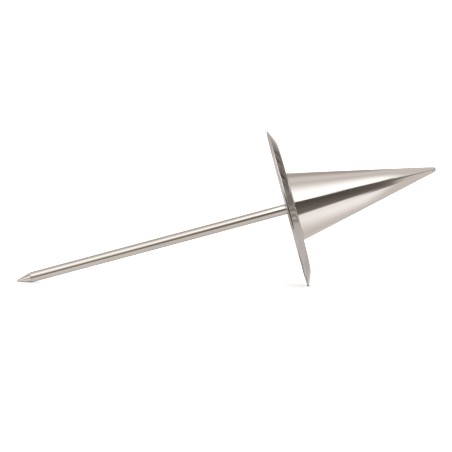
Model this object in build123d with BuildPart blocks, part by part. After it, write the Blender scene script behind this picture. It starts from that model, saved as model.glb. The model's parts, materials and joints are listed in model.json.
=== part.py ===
from build123d import *
from math import acos, asin, atan2, cos, degrees, hypot, radians, sin, tan
import os

# A polished stainless hand tool for the garden: a pointed spike, a shallow round stop dish and a
# hollow cone, all on one axis. Millimetres, +Z up.
#
# It is modelled as it lies on a table (Z = 0): on the rim of its dish and the spot where its spike's
# point begins, with the cone's tip lifted. +X is the way the cone points. The origin is the middle of
# its footprint.
#
# Stations along the tool's own axis are measured from the front edge of the dish's rim: minus
# towards the spike's point, plus towards the cone's tip.

# Spike
rod_diameter = 6.0
rod_reach = 156.8  # rim of the dish to the end of the spike's point
point_length = 8.4
point_nose = 0.8  # radius of the blunted end

# Stop dish
dish_diameter = 90.0
dish_depth = 5.0  # rim to the seat that carries the cone
dish_sheet = 1.2
seat_radius = 20.5
seat_bend = 30.0
shoulder_radius = 36.9  # where the rim starts to turn up
shoulder_bend = 13.0
rim_slope = 23.3  # degrees, from the plane of the dish
rim_break = 0.3  # rounding of the sheet's cut edge

# Cone
cone_base_diameter = 39.0
cone_half_angle = 12.6  # degrees
cone_wall = 0.8
cone_nose_radius = 1.6
nose_head = 2.3  # length of the nose that shows past the shell
nose_spigot = 4.0
joint_break = 0.12  # leaves the fine ring groove between shell and nose
mouth_break = 0.15

# M5 fastening inside
stud_diameter = 4.9
thread_bore = 5.0
clearance_hole = 5.3
stud_overrun = 1.0
washer_diameter = 10.0
washer_thickness = 1.0
spring_inner = 5.1
spring_outer = 9.2
spring_thickness = 1.2
spring_slit = 1.2
spring_slit_turn = 20  # degrees
nut_across_flats = 8.0
nut_height = 4.0
nut_chamfer = 30  # degrees
plate_thickness = 2.5
fit_gap = 0.05  # between pieces that slide together
edge_break = 0.2

# Radii and stations that follow
rod_radius = rod_diameter / 2
dish_radius = dish_diameter / 2
stud_radius = stud_diameter / 2
hole_radius = clearance_hole / 2
washer_radius = washer_diameter / 2
half_angle = radians(cone_half_angle)
seat = dish_depth
dish_floor = dish_depth - dish_sheet
washer_front = dish_floor - washer_thickness
rod_shoulder = washer_front - spring_thickness
plate_back = seat + plate_thickness
nut_back = plate_back + nut_height
stud_end = nut_back + stud_overrun
point_tip = -rod_reach
point_start = point_tip + point_length
cone_apex = seat + cone_base_diameter / 2 / tan(half_angle)
cone_tip = cone_apex - cone_nose_radius * (1 / sin(half_angle) - 1)
nose_joint = cone_tip - nose_head

# The rim's cut edge stands square to the turned-up sheet, with both corners rounded. rim_turn is the
# centre of its outer rounding.
rim = radians(rim_slope)
rim_turn = (rim_break + (dish_sheet - 2 * rim_break) * cos(rim), dish_radius - rim_break)

# How the tool lies: that rounding and the wide end of the spike's point both touch Z = 0
arm_along = rim_turn[0] - point_start
arm_across = rim_turn[1] - rod_radius
lean = acos(-rim_break / hypot(arm_along, arm_across)) - atan2(arm_along, arm_across)
rim_height = rim_break + rim_turn[1] * cos(lean) - rim_turn[0] * sin(lean)
lowest_x = (point_tip + point_nose) * cos(lean) - point_nose
highest_x = (cone_tip - cone_nose_radius) * cos(lean) + cone_nose_radius
rim_centre = (-(lowest_x + highest_x) / 2, 0, rim_height)

axis_direction = (cos(lean), 0, sin(lean))
tool_axis = Axis(rim_centre, axis_direction)
# In this plane X is the station along the tool and Y the distance from its axis
profile_plane = Plane(rim_centre, x_dir=axis_direction, z_dir=(0, -1, 0))


def across(station):
    """The plane square to the tool's axis at a station."""
    return Plane(rim_centre, x_dir=(0, 1, 0), z_dir=axis_direction).offset(station)


def cone_outside(station):
    """Radius of the cone's outer surface at a station."""
    return (cone_apex - station) * tan(half_angle)


def cone_inside(station):
    """Radius of the cone's inner surface at a station."""
    return cone_outside(station) - cone_wall / cos(half_angle)


os.makedirs("parts", exist_ok=True)

# Spike: bright bar, ground to a blunted point, with its root turned down to a stud
point_run = point_length - point_nose
point_half_angle = atan2(rod_radius, point_run) - asin(point_nose / hypot(point_run, rod_radius))
quarter = 90 + degrees(point_half_angle)

with BuildPart() as spike_rod:
    with BuildSketch(profile_plane):
        with BuildLine():
            blunt_end = CenterArc((point_tip + point_nose, 0), point_nose, quarter, 180 - quarter)
            Polyline(
                blunt_end @ 0,
                (point_start, rod_radius),
                (rod_shoulder - edge_break, rod_radius),
                (rod_shoulder, rod_radius - edge_break),
                (rod_shoulder, stud_radius),
                (stud_end - edge_break, stud_radius),
                (stud_end, stud_radius - edge_break),
                (stud_end, 0),
                blunt_end @ 1,
            )
        make_face()
    revolve(axis=tool_axis)
spike_rod.part.label = "spike_rod"
export_step(spike_rod.part, "parts/spike_rod.step")

# Split spring washer under the spike's shoulder, pressed flat
with BuildPart() as spring_washer:
    with BuildSketch(across(rod_shoulder)):
        Circle(spring_outer / 2)
        Circle(spring_inner / 2, mode=Mode.SUBTRACT)
        with Locations((0, spring_outer / 2)):
            Rectangle(spring_slit, spring_outer / 2, rotation=spring_slit_turn, mode=Mode.SUBTRACT)
    extrude(amount=spring_thickness)
spring_washer.part.label = "spring_washer"
export_step(spring_washer.part, "parts/spring_washer.step")

# Plain washer on the floor of the dish
with BuildPart() as root_washer:
    with BuildSketch(profile_plane):
        with BuildLine():
            Polyline(
                (dish_floor, hole_radius),
                (washer_front, hole_radius),
                (washer_front, washer_radius - edge_break),
                (washer_front + edge_break, washer_radius),
                (dish_floor, washer_radius),
                close=True,
            )
        make_face()
    revolve(axis=tool_axis)
root_washer.part.label = "root_washer"
export_step(root_washer.part, "parts/root_washer.step")

# Stop dish: one pressed sheet, open towards the spike. Its outer face is a flat seat for the cone,
# a slightly falling crown and a turned-up rim.
rim_corner = (
    rim_turn[0] + rim_break * (cos(rim) - sin(rim)),
    rim_turn[1] + rim_break * (cos(rim) + sin(rim)),
)
rim_rise = (rim_corner[1] - shoulder_radius) * tan(rim)
shoulder_corner = (rim_corner[0] + rim_rise, shoulder_radius)

with BuildPart() as stop_dish:
    with BuildSketch(profile_plane) as dish_section:
        with BuildLine():
            FilletPolyline(
                (seat, hole_radius),
                (seat, seat_radius),
                shoulder_corner,
                rim_corner,
                radius=[seat_bend, shoulder_bend],
            )
            offset(amount=dish_sheet, side=Side.LEFT)
        make_face()
        fillet(dish_section.vertices().sort_by(Axis.Y)[-2:], rim_break)
    revolve(axis=tool_axis)
stop_dish.part.label = "stop_dish"
export_step(stop_dish.part, "parts/stop_dish.step")

# Base plate: closes the cone's mouth and stands on the dish
with BuildPart() as base_plate:
    with BuildSketch(profile_plane):
        with BuildLine():
            Polyline(
                (seat, hole_radius),
                (seat, cone_inside(seat) - fit_gap),
                (plate_back, cone_inside(plate_back) - fit_gap),
                (plate_back, hole_radius),
                close=True,
            )
        make_face()
    revolve(axis=tool_axis)
base_plate.part.label = "base_plate"
export_step(base_plate.part, "parts/base_plate.step")

# Weld nut on the base plate's inner side, its hexagon chamfered at both ends
flat_radius = nut_across_flats / 2
corner_radius = flat_radius / cos(radians(30))
chamfer_run = (corner_radius - flat_radius) * tan(radians(nut_chamfer))

with BuildPart() as weld_nut:
    with BuildSketch(across(plate_back)):
        RegularPolygon(flat_radius, 6, major_radius=False)
        Circle(thread_bore / 2, mode=Mode.SUBTRACT)
    extrude(amount=nut_height)
    with BuildSketch(profile_plane):
        with BuildLine():
            Polyline(
                (plate_back, 0),
                (plate_back, flat_radius),
                (plate_back + chamfer_run, corner_radius),
                (nut_back - chamfer_run, corner_radius),
                (nut_back, flat_radius),
                (nut_back, 0),
                close=True,
            )
        make_face()
    revolve(axis=tool_axis, mode=Mode.INTERSECT)
weld_nut.part.label = "weld_nut"
export_step(weld_nut.part, "parts/weld_nut.step")

# Cone shell: spun sheet, open at the mouth and, narrowly, at the nose
with BuildPart() as cone_shell:
    with BuildSketch(profile_plane):
        with BuildLine():
            Polyline(
                (seat, cone_inside(seat)),
                (seat, cone_outside(seat) - mouth_break),
                (seat + mouth_break, cone_outside(seat + mouth_break)),
                (nose_joint - joint_break, cone_outside(nose_joint - joint_break)),
                (nose_joint, cone_outside(nose_joint) - joint_break),
                (nose_joint, cone_inside(nose_joint)),
                close=True,
            )
        make_face()
    revolve(axis=tool_axis)
cone_shell.part.label = "cone_shell"
export_step(cone_shell.part, "parts/cone_shell.step")

# Cone nose: solid rounded tip, its spigot set in the end of the shell
spigot_radius = cone_inside(nose_joint) - fit_gap
nose_quarter = 90 - cone_half_angle

with BuildPart() as cone_nose:
    with BuildSketch(profile_plane):
        with BuildLine():
            round_tip = CenterArc((cone_tip - cone_nose_radius, 0), cone_nose_radius, 0, nose_quarter)
            Polyline(
                round_tip @ 1,
                (nose_joint + joint_break, cone_outside(nose_joint + joint_break)),
                (nose_joint, cone_outside(nose_joint) - joint_break),
                (nose_joint, spigot_radius),
                (nose_joint - nose_spigot, spigot_radius),
                (nose_joint - nose_spigot, 0),
                round_tip @ 0,
            )
        make_face()
    revolve(axis=tool_axis)
cone_nose.part.label = "cone_nose"
export_step(cone_nose.part, "parts/cone_nose.step")
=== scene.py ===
import json
from math import atan2, ceil, cos, pi, radians, sin, tan

import bmesh
import bpy
import numpy as np
from mathutils import Matrix, Vector, noise


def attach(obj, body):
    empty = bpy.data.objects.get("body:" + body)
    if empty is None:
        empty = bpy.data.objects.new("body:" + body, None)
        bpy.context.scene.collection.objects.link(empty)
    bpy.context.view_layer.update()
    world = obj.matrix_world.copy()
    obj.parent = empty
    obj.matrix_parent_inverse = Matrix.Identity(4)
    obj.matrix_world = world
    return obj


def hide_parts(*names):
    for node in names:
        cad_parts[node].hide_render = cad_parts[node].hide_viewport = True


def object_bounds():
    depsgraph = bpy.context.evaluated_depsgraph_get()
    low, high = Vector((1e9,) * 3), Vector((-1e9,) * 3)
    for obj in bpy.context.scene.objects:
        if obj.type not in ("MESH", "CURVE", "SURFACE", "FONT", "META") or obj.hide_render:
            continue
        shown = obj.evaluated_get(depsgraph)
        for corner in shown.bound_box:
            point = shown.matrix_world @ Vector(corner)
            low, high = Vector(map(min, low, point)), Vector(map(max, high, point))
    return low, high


# A polished steel hand tool: a pointed spike, a shallow pressed dish and a hollow cone on one axis.
# Metres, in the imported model's frame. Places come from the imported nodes; stations are measured along
# the tool from the front edge of the dish's rim, minus towards the spike's point.

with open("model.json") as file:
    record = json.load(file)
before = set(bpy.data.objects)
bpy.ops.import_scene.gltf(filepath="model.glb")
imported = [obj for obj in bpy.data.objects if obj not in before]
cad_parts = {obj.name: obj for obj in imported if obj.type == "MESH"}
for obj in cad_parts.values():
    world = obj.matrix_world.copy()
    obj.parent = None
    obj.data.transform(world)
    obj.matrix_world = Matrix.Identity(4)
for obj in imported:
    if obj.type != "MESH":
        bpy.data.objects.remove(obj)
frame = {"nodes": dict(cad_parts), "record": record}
cad_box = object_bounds()

# ------------------------------------------------------------------------------ the tool's axis
CONE_MOUNT = next(m for m in frame["record"]["mounts"] if m["name"] == "cone")
CONE_TIP = Vector(CONE_MOUNT["pos_m"])
ALONG = Vector(CONE_MOUNT["axis"]).normalized()
NEAR = Vector((0, -1, 0))
UP = NEAR.cross(ALONG)


def stations(node, origin):
    """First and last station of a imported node, and its largest radius about the tool's axis."""
    arms = [v.co - origin for v in frame["nodes"][node].data.vertices]
    along = [arm.dot(ALONG) for arm in arms]
    away = [(arm - ALONG * station).length for arm, station in zip(arms, along)]
    return min(along), max(along), max(away)


RIM_CENTRE = CONE_TIP + ALONG * stations("stop_dish", CONE_TIP)[0]
SPIKE_TIP, STUD_END, ROD_RADIUS = stations("spike_rod", RIM_CENTRE)
RIM, SEAT, DISH_RADIUS = stations("stop_dish", RIM_CENTRE)
MOUTH, NOSE_JOINT = stations("cone_shell", RIM_CENTRE)[:2]
SPIGOT_END, TIP = stations("cone_nose", RIM_CENTRE)[:2]
ROD_SHOULDER = stations("spring_washer", RIM_CENTRE)[0]


def spot(station, radius, turn):
    """A point by its station, its distance from the tool's axis and its turn, 0 near and then up."""
    return RIM_CENTRE + ALONG * station + (NEAR * cos(turn) + UP * sin(turn)) * radius


# ------------------------------------------------------------------------------ camera
CAMERA_DISTANCE = 1.2
CAMERA_ELEVATION = radians(4.0)
CAMERA_ROLL = radians(0.7)
AIM_HEIGHT = 0.0331
LENS = 170.4  # millimetres, like the sensor's width
SENSOR = 36


def add_camera():
    """A long lens, a little above the tool."""
    camera = bpy.data.cameras.new("camera")
    camera.lens = LENS
    camera.sensor_width = SENSOR
    holder = bpy.data.objects.new("camera", camera)
    bpy.context.scene.collection.objects.link(holder)
    back = Vector((0, -cos(CAMERA_ELEVATION), sin(CAMERA_ELEVATION)))
    aim = Vector(((cad_box[0].x + cad_box[1].x) / 2, 0, AIM_HEIGHT))
    facing = back.to_track_quat("Z", "Y").to_matrix().to_4x4()
    place = Matrix.Translation(aim + back * CAMERA_DISTANCE)
    holder.matrix_world = place @ facing @ Matrix.Rotation(CAMERA_ROLL, 4, "Z")
    bpy.context.scene.camera = holder


# ------------------------------------------------------------------------------ light
TENT_RADIUS = 0.4
TENT_START = -0.6
TENT_END = 1.2
TENT_TURNS = 720  # faces round the tent
TENT_ROWS = 720  # rows of faces along its wall
END_ROWS = 24  # rings of faces on each of its ends
WALL_LEVEL = 0.82
END_LEVEL = 0.6  # in the middle of the tent's two ends
WHITE_LEVEL = 1.5  # panels this bright are pure white, and dimmer ones warmer
SHADE_TINT = (1, 0.865, 0.755)

# Panels and cards on the tent's wall, each over those before it: its brightness, where it starts and
# ends round the tool (degrees up from the near side), where it starts and ends along the tool (metres)
# and how far its ends bow out towards the cone's tip on the near side. A start is a pair, outer edge
# and full cover, and an end is a pair the other way round.
ALL_ROUND = (-181, -180, 180, 181)
FROM_START = (-1, -0.9)
TO_END = (2, 2.1)
CARDS = [
    # Overhead: shade and lighter stretches
    (0.68, (68, 95, 150, 170), (*FROM_START, 0.08, 0.12), 0),
    (0.95, (50, 75, 120, 140), (*FROM_START, -0.24, -0.16), 0),
    (0.5, (50, 65, 110, 130), (*FROM_START, -0.39, -0.37), 0),
    (0.93, (86, 100, 108, 122), (0.06, 0.1, *TO_END), 0),
    (0.55, (118, 136, 160, 170), (0.04, 0.08, 0.12, 0.2), 0),
    # Softbox above the camera, with a hard lower edge past the dish and a bright strip across it
    (1.62, (12, 36, 43, 95), (-0.27, -0.21, 0.0, 0.02), 0),
    (1.75, (15, 17, 40, 92), (0.05, 0.07, *TO_END), 0),
    (5, (24, 32, 75, 95), (0.0, 0.01, 0.05, 0.06), 0),
    (1.5, (4, 12, 36, 56), (*FROM_START, -0.39, -0.38), 0),
    # Black cards below it
    (0.26, (-24, -15, 2, 15), (-0.3, -0.24, 0.06, 0.1), 0),
    (0.2, (-24, -15, 12, 34), (-0.14, 0, 0.06, 0.1), 0),
    (0.1, (-40, -27, 20, 38), (-0.385, -0.38, -0.3, -0.26), 0),
    (0.28, (-16, -8, 0, 6), (*FROM_START, -0.39, -0.385), 0),
    (0.24, (-45, -38, 16, 19), (0.06, 0.12, *TO_END), 0),
    (0.12, (-28, 13, 17.5, 19), (0.06, 0.12, *TO_END), 0),
    (0.12, (-28, 13, 21.5, 23.5), (0.205, 0.245, *TO_END), 0),
    # Low light, brightest under the cone
    (0.88, (-140, -120, -36, -18), (-0.11, -0.02, 0.04, 0.08), 0),
    (0.72, (-140, -120, -95, -75), (-0.11, -0.02, 0.04, 0.08), 0),
    (0.92, (-140, -120, -40, -20), (-0.22, -0.21, -0.16, -0.06), 0),
    (0.78, (-140, -120, -40, -20), (-0.385, -0.38, -0.225, -0.215), 0),
    (1.05, (-140, -120, -24, -10), (*FROM_START, -0.39, -0.385), 0),
    (1.38, (-150, -50, -42, -37), (0.09, 0.2, *TO_END), 0),
    (1.3, (-60, -36, -32, -23), (0.12, 0.17, 0.222, 0.262), 0),
    # Behind and underneath the spike: shade, a lighter strip and dark cards
    (0.55, (-181, -180, -95, -75), (*FROM_START, -0.25, -0.12), 0),
    (0.92, (-178, -175, -166, -156), (-0.44, -0.4, -0.26, -0.2), 0),
    (0.36, (-181, -180, -178, -173), (-0.3, -0.24, -0.1, -0.04), 0),
    (0.36, (176, 179, 180, 181), (-0.3, -0.24, -0.1, -0.04), 0),
    (0.52, (-142, -136, -122, -106), (-0.17, -0.13, -0.07, -0.03), 0),
    # Wall past the cone, with the black cards' narrow end, a thin dark line and a light above
    (0.86, ALL_ROUND, (0.19, 0.215, *TO_END), 0.08),
    (0.23, (-41, -36, 27, 30), (0.232, 0.242, 0.244, 0.2465), 0.03),
    (0.16, (-22, 2, 21, 23), (0.235, 0.25, 0.255, 0.274), 0),
    (0.1, (2, 5, 11, 14), (0.277, 0.281, 0.5, 0.6), 0),
    (1.3, (95, 125, 148, 156), (0.19, 0.26, 0.34, 0.38), 0),
    # Behind: stripes of shade, and strips of light
    (0.32, (140, 158, 180, 181), (0.0, 0.2, *TO_END), 0),
    (0.16, (140, 158, 180, 181), (0.2, 0.22, 0.23, 0.25), 0),
    (0.13, (140, 158, 180, 181), (0.27, 0.285, 0.29, 0.31), 0),
    (0.2, (140, 158, 180, 181), (0.325, 0.34, 0.35, 0.358), 0),
    (0.05, (140, 158, 180, 181), (0.356, 0.366, 0.378, 0.388), 0),
    (0.2, (140, 158, 180, 181), (0.4, 0.41, 0.43, 0.45), 0),
    (0.7, (-181, -180, -155, -140), (0.02, 0.06, *TO_END), 0),
    (0.6, (-181, -180, -150, -128), (0.08, 0.13, 0.22, 0.26), 0),
    (0.36, (-181, -180, -155, -140), (0.41, 0.45, *TO_END), 0),
    (0.66, (158, 164, 174, 178), (*FROM_START, -0.04, 0), 0),
    (1.6, (128, 136, 148, 156), (0.18, 0.21, 0.3, 0.34), 0),
    (0.2, (-168, -164, -150, -146), (*FROM_START, 0, 0.04), 0),
    # Far end in shade
    (0.42, (-70, -40, 180, 181), (0.45, 0.6, *TO_END), 0),
    (0.5, (-181, -180, -70, -40), (0.45, 0.6, *TO_END), 0),
    # Lights and a dark strip in the far end
    (1.25, (120, 130, 150, 162), (0.7, 0.76, *TO_END), 0),
    (0.95, (-120, -108, -88, -76), (0.62, 0.7, *TO_END), 0),
    (0.84, (-62, -48, 18, 29), (0.52, 0.6, *TO_END), 0),
    (0.62, (-30, -24, 18, 29), (0.52, 0.6, *TO_END), 0),
    (0.25, (-26, -22, -15, -11), (0.52, 0.6, *TO_END), 0),
]
BOW_TURN = radians(6)  # where the ends bow out most


def ease(low, high, x):
    """0 up to low, 1 from high on, and a smooth rise between them."""
    t = np.clip((x - low) / (high - low), 0, 1)
    return t * t * (3 - 2 * t)


def window(x, edges):
    """1 inside the edges and 0 outside them."""
    start, full, fading, end = edges
    return ease(start, full, x) * (1 - ease(fading, end, x))


def tent_light(station, angle, inwards):
    """Colour of the tent's light at each of its points. inwards is 0 on its wall and rises to 1 in
    the middle of its ends."""
    level = np.full(station.shape, WALL_LEVEL)
    for brightness, turns, ends, bow in CARDS:
        bowed = station - bow * np.cos(angle - BOW_TURN)
        cover = window(np.degrees(angle), turns) * window(bowed, ends)
        level += (brightness - level) * cover
    level += (END_LEVEL - level) * inwards
    whiteness = np.clip(level / WHITE_LEVEL, 0, 1)[..., None]
    light = level[..., None] * (whiteness + (1 - whiteness) * np.array(SHADE_TINT))
    return np.concatenate([light, np.ones_like(whiteness)], axis=-1)


def tent_material():
    """Plain emission in the colours of the tent's mesh."""
    material = bpy.data.materials.new("light_tent")
    material.use_nodes = True
    material.cycles.emission_sampling = "NONE"
    nodes = material.node_tree.nodes
    nodes.clear()
    wall = nodes.new("ShaderNodeAttribute")
    wall.attribute_name = "glow"
    emission = nodes.new("ShaderNodeEmission")
    output = nodes.new("ShaderNodeOutputMaterial")
    material.node_tree.links.new(wall.outputs["Color"], emission.inputs["Color"])
    material.node_tree.links.new(emission.outputs["Emission"], output.inputs["Surface"])
    return material


def add_tent():
    """A light tent round the tool, seen only in the steel."""
    row = np.arange(-END_ROWS, TENT_ROWS + END_ROWS + 1)
    row, angle = np.meshgrid(row, np.linspace(-pi, pi, TENT_TURNS + 1), indexing="ij")
    station = np.interp(row, (0, TENT_ROWS), (TENT_START, TENT_END))
    inwards = np.maximum(-row, row - TENT_ROWS).clip(0) / END_ROWS
    around = np.cos(angle)[..., None] * np.array(NEAR) + np.sin(angle)[..., None] * np.array(UP)
    around *= TENT_RADIUS * (1 - inwards[..., None])
    places = np.array(RIM_CENTRE) + station[..., None] * np.array(ALONG) + around
    corner = np.arange(station.size).reshape(station.shape)
    faces = np.stack([corner[:-1, :-1], corner[:-1, 1:], corner[1:, 1:], corner[1:, :-1]], axis=-1)
    mesh = bpy.data.meshes.new("light_tent")
    mesh.from_pydata(places.reshape(-1, 3), [], faces.reshape(-1, 4))
    glow = mesh.attributes.new("glow", "FLOAT_COLOR", "POINT")
    glow.data.foreach_set("color", tent_light(station, angle, inwards).ravel())
    mesh.materials.append(tent_material())
    tent = bpy.data.objects.new("light_tent", mesh)
    bpy.context.scene.collection.objects.link(tent)
    tent.visible_camera = False
    tent.visible_diffuse = False
    tent.visible_shadow = False
    tent.visible_transmission = False


FLOOR_SIZE = 12.0
FLOOR_COLOR = (0.92, 0.92, 0.92, 1)
SKY_COLOR = (1, 1, 1, 1)
SKY_STRENGTH = 2.0


def add_floor():
    """A plain pale floor, not seen in the steel."""
    half = FLOOR_SIZE / 2
    mesh = bpy.data.meshes.new("floor")
    corners = [(-half, -half, 0), (half, -half, 0), (half, half, 0), (-half, half, 0)]
    mesh.from_pydata(corners, [], [(0, 1, 2, 3)])
    material = bpy.data.materials.new("floor")
    material.use_nodes = True
    shader = material.node_tree.nodes["Principled BSDF"]
    shader.inputs["Base Color"].default_value = FLOOR_COLOR
    shader.inputs["Roughness"].default_value = 1
    shader.inputs["Specular IOR Level"].default_value = 0
    mesh.materials.append(material)
    floor = bpy.data.objects.new("floor", mesh)
    bpy.context.scene.collection.objects.link(floor)
    floor.visible_glossy = False


def add_sky():
    """Even white light from all round, which is also the backdrop."""
    world = bpy.data.worlds.new("studio")
    world.use_nodes = True
    background = world.node_tree.nodes["Background"]
    background.inputs["Color"].default_value = SKY_COLOR
    background.inputs["Strength"].default_value = SKY_STRENGTH
    bpy.context.scene.world = world


# ------------------------------------------------------------------------------ mesh tools
CHORD_TURN = radians(7)  # most that one chord of a rounding turns
LONGEST_CHORD = 0.002
SHARP_EDGE = radians(30)


def rounded(corners):
    """A profile through (station, radius, bend) corners: each bend becomes an arc of short chords."""
    points = []
    for i, (station, radius, bend) in enumerate(corners):
        corner = Vector((station, radius))
        if bend == 0:
            points.append(corner)
            continue
        back = (Vector(corners[i - 1][:2]) - corner).normalized()
        onward = (Vector(corners[(i + 1) % len(corners)][:2]) - corner).normalized()
        half = back.angle(onward) / 2
        reach = bend / tan(half)
        centre = corner + (back + onward).normalized() * (bend / sin(half))
        start = corner + back * reach - centre
        turn = (pi - 2 * half) * (1 if back.cross(onward) < 0 else -1)
        chords = max(2, ceil(abs(turn) / CHORD_TURN))
        for k in range(chords + 1):
            points.append(centre + Matrix.Rotation(turn * k / chords, 2) @ start)
    return points


def divided(points, closed):
    """The same profile with its long runs cut up."""
    ends = points[1:] + points[:1] if closed else points[1:]
    fine = []
    for start, end in zip(points, ends):
        cuts = max(1, ceil((end - start).length / LONGEST_CHORD))
        fine.extend(start.lerp(end, k / cuts) for k in range(cuts))
    return fine if closed else fine + points[-1:]


def lathe(name, profile, turns, closed=False, cut=None):
    """Turns a profile about the tool's axis. cut(station, radius, turn) gives the worked surface."""
    mesh = bpy.data.meshes.new(name)
    places, rings = [], []
    for station, radius in divided(profile, closed):
        count = turns if radius > 0 else 1
        rings.append(range(len(places), len(places) + count))
        for k in range(count):
            turn = 2 * pi * k / turns
            place = cut(station, radius, turn) if cut else (station, radius)
            places.append(spot(*place, turn))
    faces = []
    for one, two in zip(rings, rings[1:] + rings[:1] if closed else rings[1:]):
        for k in range(turns):
            k1 = (k + 1) % turns
            face = [one[k % len(one)], one[k1 % len(one)], two[k1 % len(two)], two[k % len(two)]]
            faces.append(list(dict.fromkeys(face)))
    mesh.from_pydata(places, [], faces)
    return mesh


def mitred(points, distance):
    """A profile moved sideways, towards the spike, with its corners kept square."""
    runs = [(b - a).normalized() for a, b in zip(points, points[1:])]
    sides = [Vector((-run.y, run.x)) for run in runs]
    sides = [sides[0], *sides, sides[-1]]
    return [p + (a + b) * (distance / (1 + a.dot(b))) for p, a, b in zip(points, sides, sides[1:])]


def add_piece(name, mesh, material, node):
    """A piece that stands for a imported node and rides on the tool's one body."""
    shell = bmesh.new()
    shell.from_mesh(mesh)
    bmesh.ops.recalc_face_normals(shell, faces=shell.faces)
    shell.to_mesh(mesh)
    shell.free()
    mesh.shade_smooth()
    mesh.set_sharp_from_angle(angle=SHARP_EDGE)
    mesh.materials.append(material)
    piece = bpy.data.objects.new(name, mesh)
    bpy.context.scene.collection.objects.link(piece)
    shading = piece.modifiers.new("even_shading", "WEIGHTED_NORMAL")
    shading.keep_sharp = True
    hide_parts(node)
    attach(piece, "root")


# ------------------------------------------------------------------------------ materials
LEAN = atan2(ALONG.z, ALONG.x)
MARK_DETAIL = 3
CLOUD_DETAIL = 2
NOISE_LOW = 0.3  # nearly all of a noise texture lies between these two
NOISE_HIGH = 0.7
MIX_FIRST = 6  # the Mix node's two colour inputs
MIX_SECOND = 7
MIX_RESULT = 2  # and its colour output


def add_node(tree, kind, sockets, **settings):
    """A shader node, with its input sockets set or linked by name or number."""
    node = tree.nodes.new("ShaderNode" + kind)
    for name, value in settings.items():
        setattr(node, name, value)
    for name, value in sockets.items():
        if isinstance(value, bpy.types.NodeSocket):
            tree.links.new(value, node.inputs[name])
        else:
            node.inputs[name].default_value = value
    return node


def tool_place(tree):
    """Place on the piece, with X along the tool and the other two across it."""
    place = add_node(tree, "TexCoord", {}).outputs["Object"]
    turn = Matrix.Rotation(LEAN, 3, "Y")
    sockets = {"Vector": place, "Location": -(turn @ RIM_CENTRE), "Rotation": (0, LEAN, 0)}
    return add_node(tree, "Mapping", sockets).outputs["Vector"]


def ring_place(tree, place):
    """The same place as station and distance from the axis, so that marks run in rings."""
    parts = add_node(tree, "SeparateXYZ", {"Vector": place}).outputs
    across = add_node(tree, "CombineXYZ", {"Y": parts["Y"], "Z": parts["Z"]}).outputs["Vector"]
    away = add_node(tree, "VectorMath", {"Vector": across}, operation="LENGTH").outputs["Value"]
    sockets = {"X": parts["X"], "Y": away, "Z": parts["Y"]}
    return add_node(tree, "CombineXYZ", sockets).outputs["Vector"]


def steel(name, colors, roughness, marks, mark_depth, cloud, cloud_depth, rings):
    """Worked steel. marks says how many fine marks there are to the metre along each axis of a place,
    and cloud how many broad swells; both depths are in metres. With rings the marks run round it."""
    material = bpy.data.materials.new(name)
    material.use_nodes = True
    tree = material.node_tree
    shader = tree.nodes["Principled BSDF"]
    shader.inputs["Metallic"].default_value = 1
    place = tool_place(tree)
    marked = ring_place(tree, place) if rings else place
    stretched = add_node(tree, "Mapping", {"Vector": marked, "Scale": marks}).outputs["Vector"]
    sockets = {"Vector": stretched, "Scale": 1, "Detail": MARK_DETAIL}
    lines = add_node(tree, "TexNoise", sockets).outputs["Fac"]
    sockets = {"Vector": place, "Scale": cloud, "Detail": CLOUD_DETAIL}
    broad = add_node(tree, "TexNoise", sockets).outputs["Fac"]
    sockets = {
        "Value": lines,
        "From Min": NOISE_LOW,
        "From Max": NOISE_HIGH,
        "To Min": roughness[0],
        "To Max": roughness[1],
    }
    dullness = add_node(tree, "MapRange", sockets).outputs["Result"]
    tree.links.new(dullness, shader.inputs["Roughness"])
    sockets = {"Factor": broad, MIX_FIRST: (*colors[0], 1), MIX_SECOND: (*colors[1], 1)}
    color = add_node(tree, "Mix", sockets, data_type="RGBA").outputs[MIX_RESULT]
    tree.links.new(color, shader.inputs["Base Color"])
    swell = add_node(tree, "Bump", {"Height": broad, "Distance": cloud_depth}).outputs["Normal"]
    sockets = {"Height": lines, "Distance": mark_depth, "Normal": swell}
    normal = add_node(tree, "Bump", sockets).outputs["Normal"]
    tree.links.new(normal, shader.inputs["Normal"])
    return material


# ------------------------------------------------------------------------------ pieces
TURNS = 256  # faces round the dish and the cone
SLIM_TURNS = 128  # and round the spike and the nose
NOSE_SHARE = 0.98  # of a full rounding, so that a nose's arc ends just short of the axis

POINT_ANGLE = radians(15.92)
POINT_NOSE = 0.0008
POINT_BLEND = 0.002
ROD_EDGE = 0.0002
STUD_RADIUS = 0.00245
RELIEF_RADIUS = 0.00195
RELIEF_LENGTH = 0.0008
STUD_CHAMFER = 0.0005
THREAD_PITCH = 0.0008
THREAD_DEPTH = 0.00045
THREAD_CUTS = 10  # rows to each turn of the thread
THREAD_START = ROD_SHOULDER + RELIEF_LENGTH
CREST_END = 0.06  # parts of a pitch from the middle of a crest
ROOT_START = 0.38


def blunt_radius(rounding, half_angle):
    """Where a cone's line meets the plane across its rounded end."""
    return rounding / tan(radians(45) + half_angle / 2)


def thread_cut(station, radius, turn):
    """An M5 thread on the stud: flat crests, rounded-off flanks."""
    if station < THREAD_START or radius < RELIEF_RADIUS:
        return station, radius
    phase = (station / THREAD_PITCH - turn / (2 * pi)) % 1
    flank = ease(CREST_END, ROOT_START, min(phase, 1 - phase))
    return station, min(radius, STUD_RADIUS - THREAD_DEPTH * flank)


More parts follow.
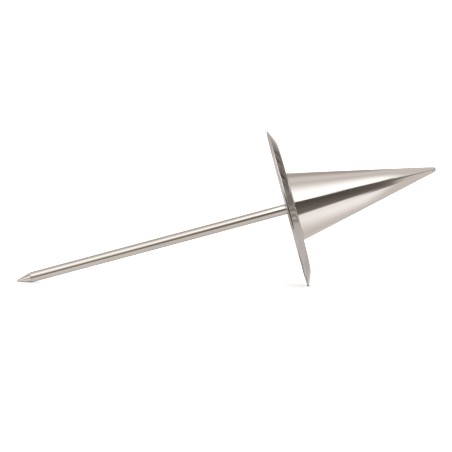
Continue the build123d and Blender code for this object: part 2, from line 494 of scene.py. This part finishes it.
def make_spike(material):
    """Bright bar: a ground point at one end, and a root turned down and threaded at the other."""
    end_flat = blunt_radius(POINT_NOSE, POINT_ANGLE)
    point_start = SPIKE_TIP + (ROD_RADIUS - end_flat) / tan(POINT_ANGLE)
    thread_end = STUD_END - STUD_CHAMFER
    rows = ceil((thread_end - THREAD_START) / THREAD_PITCH * THREAD_CUTS)
    step = (thread_end - THREAD_START) / rows
    profile = rounded([
        (SPIKE_TIP, 0, 0),
        (SPIKE_TIP, end_flat, POINT_NOSE * NOSE_SHARE),
        (point_start, ROD_RADIUS, POINT_BLEND),
        (ROD_SHOULDER - ROD_EDGE, ROD_RADIUS, 0),
        (ROD_SHOULDER, ROD_RADIUS - ROD_EDGE, 0),
        (ROD_SHOULDER, RELIEF_RADIUS, 0),
        (THREAD_START - ROD_EDGE, RELIEF_RADIUS, 0),
        *[(THREAD_START + step * k, STUD_RADIUS, 0) for k in range(rows + 1)],
        (STUD_END, STUD_RADIUS - STUD_CHAMFER, 0),
        (STUD_END, 0, 0),
    ])
    mesh = lathe("ground_spike", profile, SLIM_TURNS, cut=thread_cut)
    add_piece("ground_spike", mesh, material, "spike_rod")


DISH_SHEET = 0.0012
HOLE_RADIUS = 0.00265
SEAT_RADIUS = 0.0205
SEAT_BEND = 0.030
SHOULDER_RADIUS = 0.0369
SHOULDER_BEND = 0.013
RIM_SLOPE = radians(23.3)
RIM_BREAK = 0.0003  # rounding of the sheet's cut edge
WAVE_HEIGHT = 0.0001
WAVE_LENGTH = 0.014
WAVE_RISE = 0.014  # from the seat's edge, still flat, to where the waves are full
RIPPLE = 2.6  # finer waves on the broad ones


def dish_wave(station, radius, turn):
    """Outside its seat the pressed sheet isn't quite true."""
    across = Vector((cos(turn), sin(turn), 0)) * (radius / WAVE_LENGTH)
    wave = noise.noise(across) + noise.noise(across * RIPPLE) / RIPPLE
    free = ease(SEAT_RADIUS, SEAT_RADIUS + WAVE_RISE, radius)
    return station + WAVE_HEIGHT * free * wave, radius


def make_dish(material):
    """One pressed sheet: a flat seat, a slightly falling crown and a turned-up rim."""
    turn_station = RIM + RIM_BREAK + (DISH_SHEET - 2 * RIM_BREAK) * cos(RIM_SLOPE)
    turn_radius = DISH_RADIUS - RIM_BREAK
    rim_corner = Vector((
        turn_station + RIM_BREAK * (cos(RIM_SLOPE) - sin(RIM_SLOPE)),
        turn_radius + RIM_BREAK * (cos(RIM_SLOPE) + sin(RIM_SLOPE)),
    ))
    rise = (rim_corner.y - SHOULDER_RADIUS) * tan(RIM_SLOPE)
    outer = [
        Vector((SEAT, HOLE_RADIUS)),
        Vector((SEAT, SEAT_RADIUS)),
        Vector((rim_corner.x + rise, SHOULDER_RADIUS)),
        rim_corner,
    ]
    inner = mitred(outer, DISH_SHEET)
    bends = [0, SEAT_BEND, SHOULDER_BEND, RIM_BREAK]
    inner_bends = [0, SEAT_BEND - DISH_SHEET, SHOULDER_BEND - DISH_SHEET, RIM_BREAK]
    corners = [(*p, bend) for p, bend in zip(outer, bends)]
    corners += [(*p, bend) for p, bend in zip(reversed(inner), reversed(inner_bends))]
    mesh = lathe("pressed_dish", rounded(corners), TURNS, closed=True, cut=dish_wave)
    add_piece("pressed_dish", mesh, material, "stop_dish")


CONE_ANGLE = radians(12.6)
CONE_WALL = 0.0008
TIP_ROUNDING = 0.0016
JOINT_BREAK = 0.00012
MOUTH_BREAK = 0.00015
SPIGOT_GAP = 0.00005
CONE_APEX = TIP + blunt_radius(TIP_ROUNDING, CONE_ANGLE) / tan(CONE_ANGLE)


def cone_outside(station):
    """Radius of the cone's outer surface."""
    return (CONE_APEX - station) * tan(CONE_ANGLE)


def cone_inside(station):
    """Radius of its inner surface."""
    return cone_outside(station) - CONE_WALL / cos(CONE_ANGLE)


def make_cone(material):
    """Spun sheet, open at the mouth, with a fine groove where it meets its nose."""
    profile = rounded([
        (MOUTH, cone_inside(MOUTH), 0),
        (MOUTH, cone_outside(MOUTH), MOUTH_BREAK),
        (NOSE_JOINT, cone_outside(NOSE_JOINT), JOINT_BREAK),
        (NOSE_JOINT, cone_inside(NOSE_JOINT), 0),
    ])
    mesh = lathe("spun_cone", profile, TURNS, closed=True)
    add_piece("spun_cone", mesh, material, "cone_shell")


def make_nose(material):
    """A solid rounded tip, with a spigot that is set in the end of the cone."""
    spigot = cone_inside(NOSE_JOINT) - SPIGOT_GAP
    profile = rounded([
        (SPIGOT_END, 0, 0),
        (SPIGOT_END, spigot, 0),
        (NOSE_JOINT, spigot, 0),
        (NOSE_JOINT, cone_outside(NOSE_JOINT), JOINT_BREAK),
        (TIP, cone_outside(TIP), TIP_ROUNDING * NOSE_SHARE),
        (TIP, 0, 0),
    ])
    mesh = lathe("turned_nose", profile, SLIM_TURNS)
    add_piece("turned_nose", mesh, material, "cone_nose")


# ------------------------------------------------------------------------------ the scene
add_camera()
add_tent()
add_floor()
add_sky()

bar = steel(
    "bright_bar",
    colors=((0.63, 0.602, 0.568), (0.59, 0.562, 0.528)),
    roughness=(0.08, 0.16),
    marks=(30, 2600, 2600),
    mark_depth=4e-6,
    cloud=60,
    cloud_depth=2e-5,
    rings=False,
)
cone = steel(
    "polished_cone",
    colors=((0.64, 0.611, 0.592), (0.62, 0.588, 0.566)),
    roughness=(0.03, 0.09),
    marks=(2200, 2200, 25),
    mark_depth=8e-7,
    cloud=70,
    cloud_depth=1e-5,
    rings=True,
)
dish = steel(
    "polished_dish",
    colors=((0.63, 0.608, 0.614), (0.59, 0.568, 0.574)),
    roughness=(0.03, 0.09),
    marks=(2200, 2200, 40),
    mark_depth=2e-6,
    cloud=160,
    cloud_depth=3e-5,
    rings=True,
)
plate = steel(
    "mill_plate",
    colors=((0.50, 0.48, 0.46), (0.42, 0.40, 0.38)),
    roughness=(0.25, 0.42),
    marks=(900, 900, 900),
    mark_depth=1e-5,
    cloud=90,
    cloud_depth=3e-5,
    rings=False,
)
fastener = steel(
    "fasteners",
    colors=((0.56, 0.54, 0.51), (0.48, 0.46, 0.43)),
    roughness=(0.18, 0.34),
    marks=(3000, 3000, 60),
    mark_depth=8e-6,
    cloud=200,
    cloud_depth=2e-5,
    rings=True,
)
make_spike(bar)
make_dish(dish)
make_cone(cone)
make_nose(cone)

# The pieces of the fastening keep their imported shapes
fastening = {
    "base_plate": plate,
    "weld_nut": fastener,
    "spring_washer": fastener,
    "root_washer": fastener,
}
for name, material in fastening.items():
    frame["nodes"][name].data.materials[0] = material

bpy.context.scene.view_settings.view_transform = "Standard"
